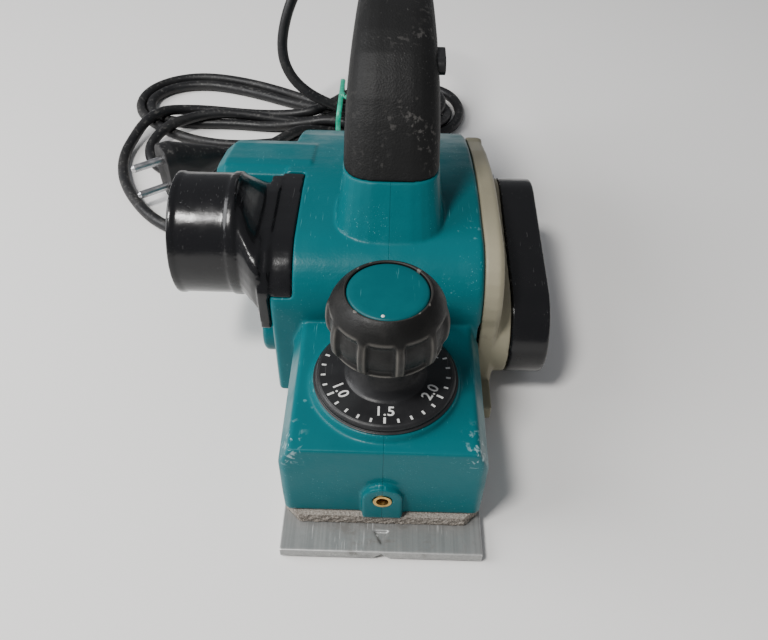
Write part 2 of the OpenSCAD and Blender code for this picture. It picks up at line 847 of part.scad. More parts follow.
module coil_end(x0, x1) {
    difference() {
        x_tube(x0, x1, motor_c, 28, 20);
        about(motor_c, 0) for (s = [-1, 1]) block(x0 - 1, x1 + 1, s * 24 - 10, s * 24 + 10, -14, 14);
    }
}

module field_coils() {
    color(copper) {
        coil_end(core_x0 - 8, core_x0);
        coil_end(core_x1, core_x1 + 7);
    }
}

module motor_bearings() {
    color(steel) {
        ball_bearing(-82, -75, motor_c, 11, 4);
        ball_bearing(36, 44, motor_c, 14, 6);
    }
}

module each_brush() {
    for (a = brush_dirs) about(motor_c, a) translate([brush_x, 0, 0]) children();
}

module brush_holders() {
    color(brass) each_brush() difference() {
        translate([-4.5, 14, -5.5]) cube([9, 13, 11]);
        translate([-3.1, 13, -4.1]) cube([6.2, 15, 8.2]);
    }
}

module carbon_brushes() {
    color(black) each_brush() translate([-3, 12.2, -4]) cube([6, 9, 8]);
}

module brush_springs() {
    color(steel) each_brush() translate([0, 21.2, 0]) rotate([-90, 0, 0]) difference() {
        cylinder(r = 2.6, h = 6.8);
        translate([0, 0, -1]) cylinder(r = 1.8, h = 9);
    }
}

module brush_caps() {
    color(black) each_brush() translate([0, 28, 0]) rotate([-90, 0, 0]) difference() {
        cylinder(r = 7.2, h = 4.5);
        translate([-8, -0.8, 3.3]) cube([16, 1.6, 3]);
    }
}

// ---- switch and handle parts -----------------------------------------------------------------

trigger_pivot = [-43, 124];
trigger_half = 7.5;

module trigger_window() {
    block(-trigger_half - 0.6, trigger_half + 0.6, -48, -7, 100, 128);
}

button_c = [-46, 138];
button_half = [8.5, 4];

module button_window() {
    block(10, 30, button_c[0] - button_half[0] - 0.4, button_c[0] + button_half[0] + 0.4,
          button_c[1] - button_half[1] - 0.4, button_c[1] + button_half[1] + 0.4);
}

module switch_body() {
    color(black) {
        block(-10.5, 10.5, -39, 2, 130.5, 146.5);
        block(-3, 3, -22, -16, 129, 130.5 + eps);
    }
}

module trigger() {
    color(black) difference() {
        along_x(-trigger_half, trigger_half) polygon(concat(
            [[-46, 127]], arc([-41, 115.5], 5, 180, 250, 3), arc([-26, 139], 29, 254, 290, 5),
            arc([-13, 115.5], 3.5, 300, 360, 3), [[-9.5, 122.5], [-38, 127]]));
        x_rod(-20, 20, trigger_pivot, 1.55);
    }
}

module trigger_pin() {
    color(steel) x_rod(-10, 10, trigger_pivot, 1.5);
}

module trigger_spring() {
    color(steel) translate([0, -12.5, 123.7]) difference() {
        cylinder(r = 2.4, h = 6.8);
        translate([0, 0, -1]) cylinder(r = 1.7, h = 11);
    }
}

module lock_button() {
    r = 3.6;
    color(black) for (s = [0, 1]) {
        if (s == 0) x_rod(13.2, 22, button_c - [button_half[0] - r, 0], r);
        else x_rod(13.2, 22, button_c + [button_half[0] - r, 0], r);
    }
    color(black) block(13.2, 22, button_c[0] - button_half[0] + r, button_c[0] + button_half[0] - r,
                       button_c[1] - r, button_c[1] + r);
}

module capacitor() {
    color(cream) block(-9, 9, 6, 26, 128, 142);
}

// The cord leaves the back of the handle here, tilted up
cord_exit = [67, 117];
cord_tilt = 20;
guard_len = 44;

module cord_guard() {
    color(black) about(cord_exit, cord_tilt) rotate([-90, 0, 0]) difference() {
        union() {
            translate([0, 0, -9]) cylinder(r = 5.9, h = 10);
            translate([0, 0, -9]) cylinder(r = 8, h = 2.4);
            translate([0, 0, 0.5]) cylinder(r1 = 8.2, r2 = 4.9, h = guard_len - 0.5);
        }
        translate([0, 0, -10]) cylinder(r = cord_d / 2 + 0.02, h = guard_len + 12);
    }
}

module inner_lead() {
    color(black) about(cord_exit, cord_tilt) rotate([-90, 0, 0])
        translate([0, 0, -25]) cylinder(r = cord_d / 2, h = 25 + guard_len);
}

module cord_clamp() {
    color(black) about(cord_exit, cord_tilt) difference() {
        block(-11, 11, -22, -14, 1, 7);
        rotate([-90, 0, 0]) translate([0, 0, -40]) cylinder(r = cord_d / 2, h = 40);
        for (s = [-1, 1]) translate([8 * s, -18, 0]) cylinder(r = 1.6, h = 10);
    }
}

module clamp_screws() {
    color(steel) about(cord_exit, cord_tilt) for (s = [-1, 1]) translate([8 * s, -18, 0]) {
        translate([0, 0, -3]) cylinder(r = 1.5, h = 10);
        translate([0, 0, 7]) cylinder(r = 2.8, h = 1.6);
    }
}

// ---- cord ------------------------------------------------------------------------------------

// From the end of the guard, round in the air and down to the floor, into the hank
LEAD = [
    [0, 108.3, 132], [-1, 120, 136], [-6, 134, 138], [-18, 146, 136], [-34, 151, 127],
    [-50, 148, 112], [-63, 141, 94], [-72, 134, 76], [-76, 128, 58], [-73, 123, 41],
    [-64, 119, 26]
];

// From the hank round the front of the pile and back to the plug
TAIL = [
    [-177, 99, 4.5], [-180, 84, 3.5], [-178, 66, 3.5], [-171, 47, 3.5], [-160, 29, 3.5],
    [-146, 13, 3.5], [-130, 2, 3.5], [-112, -3, 3.5], [-93, -3, 3.5], [-76, 3, 3.5],
    [-64, 14, 3.5], [-58, 30, 4], [-60, 46, 6], [-69, 58, 10], [-82, 64.5, 14.5], [-96, 64, 18.5],
    [-108, 58.4, 20]
];

// Rings square to the route, kept upright by the world's up
function tube_rings(q, r, n = 10) = [for (i = [0:len(q) - 1])
    let (t = unit(q[min(i + 1, len(q) - 1)] - q[max(i - 1, 0)]),
         side = unit(cross(t, abs(t[2]) > 0.9 ? [0, 1, 0] : [0, 0, 1])), up = cross(side, t))
    [for (j = [0:n - 1]) let (a = 360 * j / n) q[i] + r * (cos(a) * side + sin(a) * up)]];

module cord_lead() {
    color(black) sweep(tube_rings(route(LEAD, 2), cord_d / 2));
}

module cord_tail() {
    color(black) sweep(tube_rings(route(TAIL, 1), cord_d / 2));
}

hank_r = 58;
hank_left = [-136, 142];
hank_right = [-4, 142];
hank_h = 24;
tie_x = -37;

module cord_hank() {
    color(black) difference() {
        union() {
            for (c = [hank_left, hank_right]) translate([c[0], c[1], 0])
                cylinder(r = hank_r, h = hank_h);
            block(hank_left[0], hank_right[0], hank_left[1] - hank_r, hank_left[1] + hank_r, 0, hank_h);
            // One turn hangs out towards the plug
            translate([-130, 94, 0]) cylinder(r = 35, h = hank_h);
        }
        block(tie_x - 3, tie_x + 3, hank_left[1] - hank_r - 1, hank_left[1] + hank_r + 1,
              hank_h - 2, hank_h + 1);
    }
}

module cord_tie() {
    color([0.05, 0.55, 0.42])
        block(tie_x - 2.8, tie_x + 2.8, 114, 156, hank_h - 2, hank_h - 0.6);
}

plug_c = [-108, 58.4, 20];
plug_turn = 216;

// Children point along +X, away from the cord
module at_plug() {
    translate(plug_c) rotate([0, 0, plug_turn]) children();
}

module plug_body() {
    color(black) at_plug() difference() {
        hull() {
            translate([0, 0, 0]) rotate([0, 90, 0]) cylinder(r = 5, h = 1, $fn = hull_fn);
            translate([20, 0, 0]) rotate([0, 90, 0]) cylinder(r = 9.5, h = 1, $fn = hull_fn);
            for (s = [-1, 1]) translate([32, 0, 9 * s]) rotate([0, 90, 0])
                cylinder(r = 10.5, h = 7, $fn = hull_fn);
        }
        for (s = [-1, 1]) translate([37, 0, 9.5 * s]) rotate([0, 90, 0]) cylinder(r = 2.4, h = 10);
    }
}

module plug_pins() {
    color(steel) at_plug() for (s = [-1, 1]) translate([37, 0, 9.5 * s]) rotate([0, 90, 0]) {
        cylinder(r = 2.4, h = 19.5);
        translate([0, 0, 19.5]) cylinder(r1 = 2.4, r2 = 1.2, h = 1.5);
    }
}

housing_left();
housing_right();
grip_left();
grip_right();
knob_grip();
knob_cap();
depth_dial();
depth_screw();
depth_spring();
guide_bridge();
shoe_guides();
front_shoe();
foam_seal();
front_insert();
main_frame();
chip_guard();
cutter_drum();
drum_blades();
blade_clamps();
clamp_bolts();
drum_bearings();
drum_pulley();
motor_pulley();
drive_belt();
belt_cover();
cover_screws();
side_cover();
side_screws();
armature_shaft();
armature_core();
armature_windings();
commutator();
cooling_fan();
fan_baffle();
field_core();
field_coils();
motor_bearings();
brush_holders();
carbon_brushes();
brush_springs();
brush_caps();
switch_body();
trigger();
trigger_pin();
trigger_spring();
lock_button();
capacitor();
inner_lead();
cord_clamp();
clamp_screws();
cord_guard();
housing_screws();
chip_nozzle();
nozzle_screws();
cord_lead();
cord_hank();
cord_tie();
cord_tail();
plug_body();
plug_pins();
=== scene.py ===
import json
import math
import bmesh
import bpy
import numpy as np
from mathutils import Matrix, Vector


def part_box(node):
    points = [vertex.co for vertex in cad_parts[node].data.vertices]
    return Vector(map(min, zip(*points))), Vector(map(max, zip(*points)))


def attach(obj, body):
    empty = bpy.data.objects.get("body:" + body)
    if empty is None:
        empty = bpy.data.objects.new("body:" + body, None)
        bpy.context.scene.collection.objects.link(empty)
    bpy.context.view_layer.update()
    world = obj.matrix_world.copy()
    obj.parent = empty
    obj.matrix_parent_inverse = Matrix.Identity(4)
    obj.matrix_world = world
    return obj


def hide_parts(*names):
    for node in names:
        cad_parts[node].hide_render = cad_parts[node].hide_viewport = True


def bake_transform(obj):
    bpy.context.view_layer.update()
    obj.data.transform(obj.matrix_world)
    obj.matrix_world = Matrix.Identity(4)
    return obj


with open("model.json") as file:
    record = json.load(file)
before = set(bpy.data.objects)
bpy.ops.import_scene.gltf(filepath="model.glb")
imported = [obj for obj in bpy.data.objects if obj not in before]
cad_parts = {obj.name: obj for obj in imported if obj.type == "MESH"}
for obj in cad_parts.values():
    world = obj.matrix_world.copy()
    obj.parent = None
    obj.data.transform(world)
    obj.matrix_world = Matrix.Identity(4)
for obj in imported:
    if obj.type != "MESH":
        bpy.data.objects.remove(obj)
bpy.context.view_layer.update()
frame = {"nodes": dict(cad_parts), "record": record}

MM = 0.001
nodes = frame["nodes"]


# ---- camera and light ----------------------------------------------------------------------

def aim(position, yaw, pitch, roll):
    """The camera's matrix. Yaw 0 looks along +Y, and a positive pitch looks down, in degrees."""
    y, p, r = (math.radians(a) for a in (yaw, pitch, roll))
    forward = Vector((math.sin(y) * math.cos(p), math.cos(y) * math.cos(p), -math.sin(p)))
    right = Vector((math.cos(y), -math.sin(y), 0))
    up = right.cross(forward)
    side = math.cos(r) * right + math.sin(r) * up
    top = -math.sin(r) * right + math.cos(r) * up
    m = Matrix((side, top, -forward)).transposed().to_4x4()
    m.translation = Vector(position)
    return m


camera_data = bpy.data.cameras.new("camera")
camera_data.sensor_width = 36
camera_data.lens = 35.6
camera_data.clip_start = 0.01
camera_data.clip_end = 20
camera = bpy.data.objects.new("camera", camera_data)
bpy.context.collection.objects.link(camera)
camera.matrix_world = aim((-0.0006, -0.3561, 0.2909), -0.19, 45.18, 1.44)
bpy.context.scene.camera = camera


def area_light(name, position, target, size, power, colour=(1, 1, 1)):
    data = bpy.data.lights.new(name, "AREA")
    data.shape = "RECTANGLE"
    data.size, data.size_y = size
    data.energy = power
    data.color = colour
    o = bpy.data.objects.new(name, data)
    bpy.context.collection.objects.link(o)
    o.location = position
    o.rotation_euler = (Vector(target) - Vector(position)).to_track_quat("-Z", "Y").to_euler()


area_light("key", (-0.52, -0.62, 1.30), (-0.05, -0.05, 0.03), (0.26, 0.26), 19, (1, 0.985, 0.96))
area_light("window", (-1.35, -0.15, 1.0), (-0.1, 0, 0.03), (1.2, 1.0), 27, (0.985, 0.99, 1))

world = bpy.data.worlds.new("studio")
world.use_nodes = True
world.node_tree.nodes["Background"].inputs["Color"].default_value = (0.93, 0.95, 1, 1)
world.node_tree.nodes["Background"].inputs["Strength"].default_value = 0.26
bpy.context.scene.world = world


# ---- materials -----------------------------------------------------------------------------

class Mat:
    """A node material that builds its patterns from the object's own coordinates."""

    def __init__(self, name, colour, rough=0.4, metal=0.0, specular=0.5, coat=0.0, coat_rough=0.1):
        self.m = bpy.data.materials.new(name)
        self.m.use_nodes = True
        self.t = self.m.node_tree
        self.b = self.t.nodes["Principled BSDF"]
        self.b.inputs["Base Color"].default_value = (*colour, 1)
        self.b.inputs["Roughness"].default_value = rough
        self.b.inputs["Metallic"].default_value = metal
        self.b.inputs["Specular IOR Level"].default_value = specular
        self.b.inputs["Coat Weight"].default_value = coat
        self.b.inputs["Coat Roughness"].default_value = coat_rough
        self.co = self.node("ShaderNodeTexCoord").outputs["Object"]
        self.height = None
        self.colour = self.value(colour)
        self.rough = self.value(rough)

    def value(self, v):
        return (*v, 1) if isinstance(v, tuple) and len(v) == 3 else v

    def node(self, kind, **settings):
        n = self.t.nodes.new(kind)
        for k, v in settings.items():
            setattr(n, k, v)
        return n

    def put(self, socket, v):
        if isinstance(v, bpy.types.NodeSocket):
            self.t.links.new(v, socket)
        else:
            socket.default_value = v

    def mapped(self, scale=(1, 1, 1), turn=(0, 0, 0)):
        n = self.node("ShaderNodeMapping")
        self.put(n.inputs["Vector"], self.co)
        n.inputs["Scale"].default_value = scale
        n.inputs["Rotation"].default_value = [math.radians(a) for a in turn]
        return n.outputs["Vector"]

    def noise(self, scale, detail=3.0, at=None, distortion=0.0):
        n = self.node("ShaderNodeTexNoise")
        self.put(n.inputs["Vector"], at or self.co)
        n.inputs["Scale"].default_value = scale
        n.inputs["Detail"].default_value = detail
        n.inputs["Distortion"].default_value = distortion
        return n.outputs["Fac"]

    def cells(self, scale, at=None):
        n = self.node("ShaderNodeTexVoronoi")
        self.put(n.inputs["Vector"], at or self.co)
        n.inputs["Scale"].default_value = scale
        return n.outputs["Distance"]

    def axis(self, name):
        n = self.node("ShaderNodeSeparateXYZ")
        self.put(n.inputs[0], self.co)
        return n.outputs[name]

    def normal_axis(self, name):
        n = self.node("ShaderNodeSeparateXYZ")
        self.put(n.inputs[0], self.node("ShaderNodeNewGeometry").outputs["Normal"])
        return n.outputs[name]

    def edges(self, low, high):
        return self.step(self.node("ShaderNodeNewGeometry").outputs["Pointiness"], low, high)

    def math(self, op, a, b=0.0):
        n = self.node("ShaderNodeMath", operation=op)
        self.put(n.inputs[0], a)
        self.put(n.inputs[1], b)
        return n.outputs[0]

    def step(self, v, low, high, out=(0.0, 1.0)):
        n = self.node("ShaderNodeMapRange", interpolation_type="SMOOTHSTEP")
        self.put(n.inputs["Value"], v)
        for k, x in zip(("From Min", "From Max", "To Min", "To Max"), (low, high, *out)):
            n.inputs[k].default_value = x
        return n.outputs["Result"]

    def blend(self, fac, a, b):
        n = self.node("ShaderNodeMix", data_type="RGBA")
        self.put(n.inputs[0], fac)
        self.put(n.inputs[6], self.value(a))
        self.put(n.inputs[7], self.value(b))
        return n.outputs[2]

    def tint(self, fac, colour):
        self.colour = self.blend(fac, self.colour, colour)

    def roughen(self, fac, rough):
        n = self.node("ShaderNodeMix", data_type="FLOAT")
        self.put(n.inputs[0], fac)
        self.put(n.inputs[2], self.rough)
        self.put(n.inputs[3], rough)
        self.rough = n.outputs[0]

    def raise_by(self, fac, depth):
        step = self.math("MULTIPLY", fac, depth)
        self.height = step if self.height is None else self.math("ADD", self.height, step)

    def scratches(self, colour, amount=0.6, dense=0.68, turns=((0, 0, 20), (0, 0, -50), (0, 70, 10)),
                  scale=1500, depth=-0.00002):
        for i, turn in enumerate(turns):
            line = self.noise(scale, 2.0, self.mapped((1, 0.035, 1), turn))
            patch = self.noise(38 + 9 * i, 2.0, self.mapped((1, 1, 1), (40 * i, 0, 25)))
            mask = self.math("MULTIPLY", self.step(line, dense, dense + 0.03), self.step(patch, 0.52, 0.62))
            self.tint(self.math("MULTIPLY", mask, amount), colour)
            self.raise_by(mask, depth)

    def done(self, strength=1.0):
        self.put(self.b.inputs["Base Color"], self.colour)
        self.put(self.b.inputs["Roughness"], self.rough)
        if self.height is not None:
            n = self.node("ShaderNodeBump")
            n.inputs["Strength"].default_value = strength
            n.inputs["Distance"].default_value = 1.0
            self.put(n.inputs["Height"], self.height)
            self.t.links.new(n.outputs["Normal"], self.b.inputs["Normal"])
        return self.m


def moulded_teal():
    m = Mat("teal_plastic", (0.0, 0.106, 0.124), 0.30, specular=0.16)
    m.tint(m.step(m.noise(14, 4), 0.35, 0.75, (0, 0.35)), (0.0, 0.124, 0.142))
    m.raise_by(m.noise(900, 4), 0.00006)
    m.raise_by(m.noise(70, 2), 0.00035)
    m.roughen(m.step(m.noise(55, 5), 0.4, 0.7), 0.46)
    m.scratches((0.16, 0.42, 0.45), 0.4, 0.685)
    scuff = m.math("MULTIPLY", m.step(m.noise(320, 6), 0.60, 0.68), m.step(m.noise(26, 2), 0.56, 0.66))
    m.tint(m.math("MULTIPLY", scuff, 0.3), (0.22, 0.44, 0.46))
    m.roughen(scuff, 0.6)
    worn = m.math("MULTIPLY", m.edges(0.535, 0.60), m.step(m.noise(210, 5), 0.50, 0.62))
    m.tint(m.math("MULTIPLY", worn, 0.7), (0.50, 0.66, 0.68))
    corner = m.step(m.math("ABSOLUTE", m.axis("X")), 0.028, 0.038)
    corner = m.math("MULTIPLY", corner, m.step(m.axis("Y"), -0.172, -0.188))
    corner = m.math("MULTIPLY", corner, m.step(m.axis("Z"), 0.042, 0.050))
    corner = m.math("MULTIPLY", corner, m.step(m.noise(380, 6, None, 0.6), 0.54, 0.64))
    m.tint(m.math("MULTIPLY", corner, 0.7), (0.42, 0.60, 0.62))
    seam = m.step(m.math("ABSOLUTE", m.axis("X")), 0.00022, 0.00008)
    m.tint(m.math("MULTIPLY", seam, 0.3), (0.002, 0.05, 0.06))
    m.raise_by(seam, -0.0001)
    return m.done()


def cap_teal():
    m = Mat("cap_teal", (0.0, 0.082, 0.096), 0.40, specular=0.2)
    m.raise_by(m.noise(900, 4), 0.00004)
    m.tint(m.step(m.noise(120, 4), 0.4, 0.75, (0, 0.4)), (0.001, 0.104, 0.118))
    m.scratches((0.10, 0.36, 0.38), 0.25, 0.70)
    return m.done()


def grip_black():
    base = (0.0085, 0.0085, 0.0085)
    scuffs = 0.3
    m = Mat("grip_black", base, 0.55, specular=0.2)
    m.tint(m.step(m.noise(30, 4), 0.4, 0.8, (0, 0.5)), tuple(c * 1.7 for c in base))
    m.raise_by(m.noise(1500, 3), 0.00010)
    m.raise_by(m.cells(1100), 0.00008)
    grain = m.step(m.noise(420, 6), 0.55, 0.66)
    patch = m.step(m.noise(34, 2), 0.48, 0.62)
    belt_side = m.step(m.axis("X"), -0.012, 0.014, (0.2, 1))
    rub = m.math("MULTIPLY", grain, m.math("MULTIPLY", patch, belt_side))
    m.tint(m.math("MULTIPLY", rub, scuffs), (0.20, 0.19, 0.18))
    m.scratches((0.22, 0.22, 0.21), 0.5 * scuffs, 0.69)
    m.roughen(rub, 0.75)
    return m.done()


def soft_black():
    m = Mat("knob_rubber", (0.007, 0.0068, 0.0065), 0.40, specular=0.22)
    m.raise_by(m.noise(1300, 4), 0.00008)
    m.tint(m.step(m.noise(90, 4), 0.5, 0.8, (0, 0.5)), (0.026, 0.024, 0.022))
    # Convex ridges and rims tinted lighter: a painted highlight along the knob's ridges
    m.tint(m.math("MULTIPLY", m.edges(0.508, 0.545), 0.75), (0.15, 0.14, 0.125))
    m.roughen(m.step(m.noise(120, 4), 0.4, 0.7), 0.62)
    return m.done()


def gloss_black(name="gloss_black", chips=0.0):
    m = Mat(name, (0.007, 0.007, 0.008), 0.18, specular=0.4)
    m.roughen(m.step(m.noise(80, 5), 0.45, 0.75), 0.3)
    m.raise_by(m.noise(60, 3), 0.0004)
    m.raise_by(m.noise(1200, 3), 0.00002)
    m.scratches((0.16, 0.16, 0.16), 0.35, 0.70)
    if chips:
        chip = m.math("MULTIPLY", m.edges(0.53, 0.58), m.step(m.noise(300, 4), 0.60, 0.66))
        m.tint(m.math("MULTIPLY", chip, chips), (0.6, 0.6, 0.58))
    return m.done()


def satin_black():
    m = Mat("satin_black", (0.014, 0.014, 0.015), 0.34, specular=0.35)
    m.raise_by(m.noise(900, 4), 0.00004)
    m.tint(m.step(m.noise(60, 4), 0.45, 0.8, (0, 0.6)), (0.026, 0.027, 0.028))
    m.roughen(m.step(m.noise(150, 5), 0.4, 0.7), 0.5)
    m.scratches((0.15, 0.15, 0.15), 0.3, 0.7)
    return m.done()


def cream():
    m = Mat("cream_plastic", (0.30, 0.275, 0.195), 0.45, specular=0.25)
    m.tint(m.step(m.noise(22, 5), 0.4, 0.8, (0, 0.6)), (0.255, 0.23, 0.16))
    m.raise_by(m.noise(800, 4), 0.00005)
    dirt = m.math("MULTIPLY", m.step(m.noise(260, 6), 0.58, 0.70), m.step(m.noise(40, 3), 0.5, 0.62))
    m.tint(m.math("MULTIPLY", dirt, 0.5), (0.22, 0.19, 0.14))
    m.scratches((0.25, 0.22, 0.17), 0.4, 0.69)
    return m.done()


def cast_shoe():
    m = Mat("cast_alloy", (0.27, 0.275, 0.27), 0.42, metal=0.6)
    brushed = m.noise(900, 4, m.mapped((1, 0.02, 1)))
    m.tint(m.step(brushed, 0.35, 0.7, (0, 0.6)), (0.38, 0.38, 0.37))
    m.raise_by(brushed, 0.00003)
    m.raise_by(m.noise(260, 5), 0.00012)
    blotch = m.step(m.noise(55, 6, None, 0.8), 0.52, 0.62)
    stain = m.math("MULTIPLY", blotch, m.step(m.noise(300, 4), 0.35, 0.6))
    m.tint(m.math("MULTIPLY", stain, 0.8), (0.16, 0.155, 0.145))
    m.roughen(stain, 0.65)
    m.scratches((0.75, 0.75, 0.74), 0.6, 0.66)
    m.tint(m.math("MULTIPLY", m.edges(0.52, 0.57), 0.8), (0.90, 0.90, 0.88))
    return m.done()


def turned(name, colour, rough=0.3, stretch=(0.03, 1, 1)):
    m = Mat(name, colour, rough, metal=1.0)
    rings = m.noise(1600, 3, m.mapped(stretch))
    m.tint(m.step(rings, 0.35, 0.7, (0, 0.5)), tuple(min(1, c * 1.35) for c in colour))
    m.raise_by(rings, 0.00002)
    m.roughen(m.step(m.noise(200, 5), 0.45, 0.7), min(1, rough + 0.18))
    return m.done()


def brass_metal():
    m = Mat("brass", (0.72, 0.47, 0.16), 0.3, metal=1.0)
    m.tint(m.step(m.noise(600, 5), 0.45, 0.7, (0, 0.7)), (0.42, 0.27, 0.10))
    m.raise_by(m.noise(900, 3), 0.00004)
    m.roughen(m.step(m.noise(500, 4), 0.4, 0.7), 0.5)
    return m.done()


def copper_wire():
    m = Mat("copper_wire", (0.45, 0.16, 0.06), 0.32, metal=0.9, coat=0.6)
    wire = m.noise(1200, 1, m.mapped((1, 0.05, 0.3), (20, 0, 0)))
    m.tint(m.step(wire, 0.4, 0.6, (0, 0.7)), (0.22, 0.07, 0.03))
    m.raise_by(wire, 0.00025)
    return m.done()


def laminated():
    m = Mat("sheet_core", (0.20, 0.20, 0.20), 0.45, metal=0.8)
    sheet = m.noise(1500, 0, m.mapped((1, 0.001, 0.001)))
    m.tint(m.step(sheet, 0.4, 0.6, (0, 0.8)), (0.10, 0.10, 0.10))
    m.raise_by(sheet, 0.00015)
    return m.done()


def foam_stuff():
    m = Mat("foam", (0.24, 0.21, 0.18), 0.95, specular=0.1)
    grain = m.noise(1500, 6)
    m.tint(m.step(grain, 0.35, 0.65), (0.38, 0.345, 0.305))
    # Darker spots in the pits of the foam cells: painted shade inside the pores
    m.tint(m.step(m.cells(900), 0.25, 0.05, (0, 0.8)), (0.08, 0.065, 0.055))
    m.tint(m.step(m.noise(120, 3), 0.55, 0.75, (0, 0.5)), (0.10, 0.08, 0.065))
    m.raise_by(grain, 0.0006)
    m.raise_by(m.cells(900), 0.0004)
    return m.done()


def cable():
    m = Mat("cable_rubber", (0.010, 0.010, 0.011), 0.42, specular=0.35)
    m.tint(m.step(m.noise(45, 5), 0.45, 0.75, (0, 0.7)), (0.024, 0.023, 0.022))
    m.raise_by(m.noise(1100, 4), 0.00005)
    dust = m.math("MULTIPLY", m.step(m.noise(500, 6), 0.55, 0.68), m.step(m.normal_axis("Z"), 0.1, 0.9))
    m.tint(m.math("MULTIPLY", dust, 0.35), (0.16, 0.155, 0.145))
    m.roughen(m.step(m.noise(90, 5), 0.4, 0.7), 0.58)
    return m.done()


def tie_green():
    m = Mat("tie_green", (0.012, 0.33, 0.20), 0.35, specular=0.5)
    m.tint(m.step(m.noise(300, 4), 0.4, 0.7), (0.02, 0.45, 0.30))
    m.raise_by(m.noise(900, 3), 0.00006)
    return m.done()


def print_white():
    m = Mat("dial_print", (0.66, 0.66, 0.64), 0.5)
    m.tint(m.step(m.noise(700, 5), 0.55, 0.7, (0, 0.55)), (0.30, 0.30, 0.29))
    m.raise_by(m.noise(1500, 3), 0.00003)
    return m.done()


def carbon():
    m = Mat("carbon", (0.03, 0.03, 0.032), 0.6)
    m.tint(m.noise(900, 4), (0.06, 0.06, 0.062))
    m.raise_by(m.noise(1500, 4), 0.00006)
    return m.done()


TEAL = moulded_teal()
CAP = cap_teal()
GRIP = grip_black()
KNOB = soft_black()
GLOSS = gloss_black()
BELT_GLOSS = gloss_black("belt_gloss", 0.9)
SATIN = satin_black()
CREAM = cream()
SHOE = cast_shoe()
STEEL = turned("steel", (0.46, 0.46, 0.47))
BRASS = brass_metal()
COPPER = copper_wire()
LAMINATED = laminated()
FOAM = foam_stuff()
CABLE = cable()
TIE = tie_green()
PRINT = print_white()
CARBON = carbon()

SLOT_MATERIAL = {
    "teal_plastic": TEAL, "black_grip": GRIP, "black_gloss": GLOSS, "black_plastic": SATIN,
    "cream_plastic": CREAM, "cast_alloy": SHOE, "steel": STEEL, "sheet_core": LAMINATED,
    "brass": BRASS, "copper": COPPER, "carbon": CARBON, "foam": FOAM, "cord_rubber": CABLE,
    "green_tie": TIE,
}
node_slot = {s["node"]: s["material_slot"] for s in frame["record"]["subparts"]}
body_of_node = {n: b for b, names in frame["record"]["behaviour"]["bodies"].items() for n in names}


def dress(o, material):
    o.data.materials.clear()
    o.data.materials.append(material)


for name, o in nodes.items():
    material = SLOT_MATERIAL[node_slot[name]]
    if o.material_slots:
        for s in o.material_slots:
            s.material = material
    else:
        o.data.materials.append(material)


# ---- mesh helpers --------------------------------------------------------------------------

def mesh_object(name, verts, faces, smooth=True):
    me = bpy.data.meshes.new(name)
    me.from_pydata([tuple(float(c) for c in v) for v in verts], [], faces)
    me.validate()
    me.update()
    if smooth:
        me.polygons.foreach_set("use_smooth", [True] * len(me.polygons))
    o = bpy.data.objects.new(name, me)
    bpy.context.collection.objects.link(o)
    return o


def finish_piece(o, material, body, slot, *replaced):
    dress(o, material)
    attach(o, body)
    if replaced:
        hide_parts(*replaced)
    return o


def apply_modifiers(o):
    depsgraph = bpy.context.evaluated_depsgraph_get()
    done = bpy.data.meshes.new_from_object(o.evaluated_get(depsgraph))
    o.modifiers.clear()
    old = o.data
    o.data = done
    bpy.data.meshes.remove(old)


def moulded(name, names, voxel, rounds, split=False):
    """The CAD solids of these nodes as one skin with the soft edges of a moulding or casting."""
    bm = bmesh.new()
    for n in names:
        bm.from_mesh(nodes[n].data)
    me = bpy.data.meshes.new(name)
    bm.to_mesh(me)
    bm.free()
    o = bpy.data.objects.new(name, me)
    bpy.context.collection.objects.link(o)
    remesh = o.modifiers.new("remesh", "REMESH")
    remesh.mode = "VOXEL"
    remesh.voxel_size = voxel
    smooth = o.modifiers.new("smooth", "SMOOTH")
    smooth.factor = 0.5
    smooth.iterations = rounds
    apply_modifiers(o)
    o.data.polygons.foreach_set("use_smooth", [True] * len(o.data.polygons))
    if not split:
        return [o]
    halves = []
    for side, keep in (("left", 1), ("right", -1)):
        bm = bmesh.new()
        bm.from_mesh(o.data)
        bmesh.ops.bisect_plane(bm, geom=bm.verts[:] + bm.edges[:] + bm.faces[:], plane_co=(0, 0, 0),
                               plane_no=(-keep, 0, 0), clear_outer=True)
        me = bpy.data.meshes.new(f"{name}_{side}")
        bm.to_mesh(me)
        bm.free()
        half = bpy.data.objects.new(f"{name}_{side}", me)
        bpy.context.collection.objects.link(half)
        halves.append(half)
    bpy.data.objects.remove(o)
    return halves


def shaped(names, material, voxel, rounds, split=False, name=None):
    pieces = moulded(name or names[0] + "_skin", names, voxel, rounds, split)
    for piece, n in zip(pieces, names):
        finish_piece(piece, material, body_of_node[n], node_slot[n], n)
    return pieces


def turned_shape(name, centre, profile, sides=96, radius=None):
    """A profile of (r, z) points in mm turned about +Z through centre; radius(a, r, z) may shape it."""
    verts, faces = [], []
    for r, z in profile:
        for j in range(sides):
            a = 2 * math.pi * j / sides
            rr = radius(a, r, z) if radius else r
            verts.append(((centre[0] + rr * math.cos(a)) * MM, (centre[1] + rr * math.sin(a)) * MM,
                          (centre[2] + z) * MM))
    for i in range(len(profile) - 1):
        for j in range(sides):
            k = (j + 1) % sides
            faces.append((i * sides + j, i * sides + k, (i + 1) * sides + k, (i + 1) * sides + j))
    return mesh_object(name, verts, faces)


def smooth_line(points, per):
    """Catmull-Rom points through these, as rows of an array."""
    p = np.array(points, float)
    out = []
    for i in range(len(p) - 1):
        a, b, c, d = p[max(i - 1, 0)], p[i], p[i + 1], p[min(i + 2, len(p) - 1)]
        for k in range(per):
            t = k / per
            out.append(0.5 * (2 * b + (c - a) * t + (2 * a - 5 * b + 4 * c - d) * t * t
                              + (3 * b - a - 3 * c + d) * t ** 3))
    out.append(p[-1])
    return np.array(out)


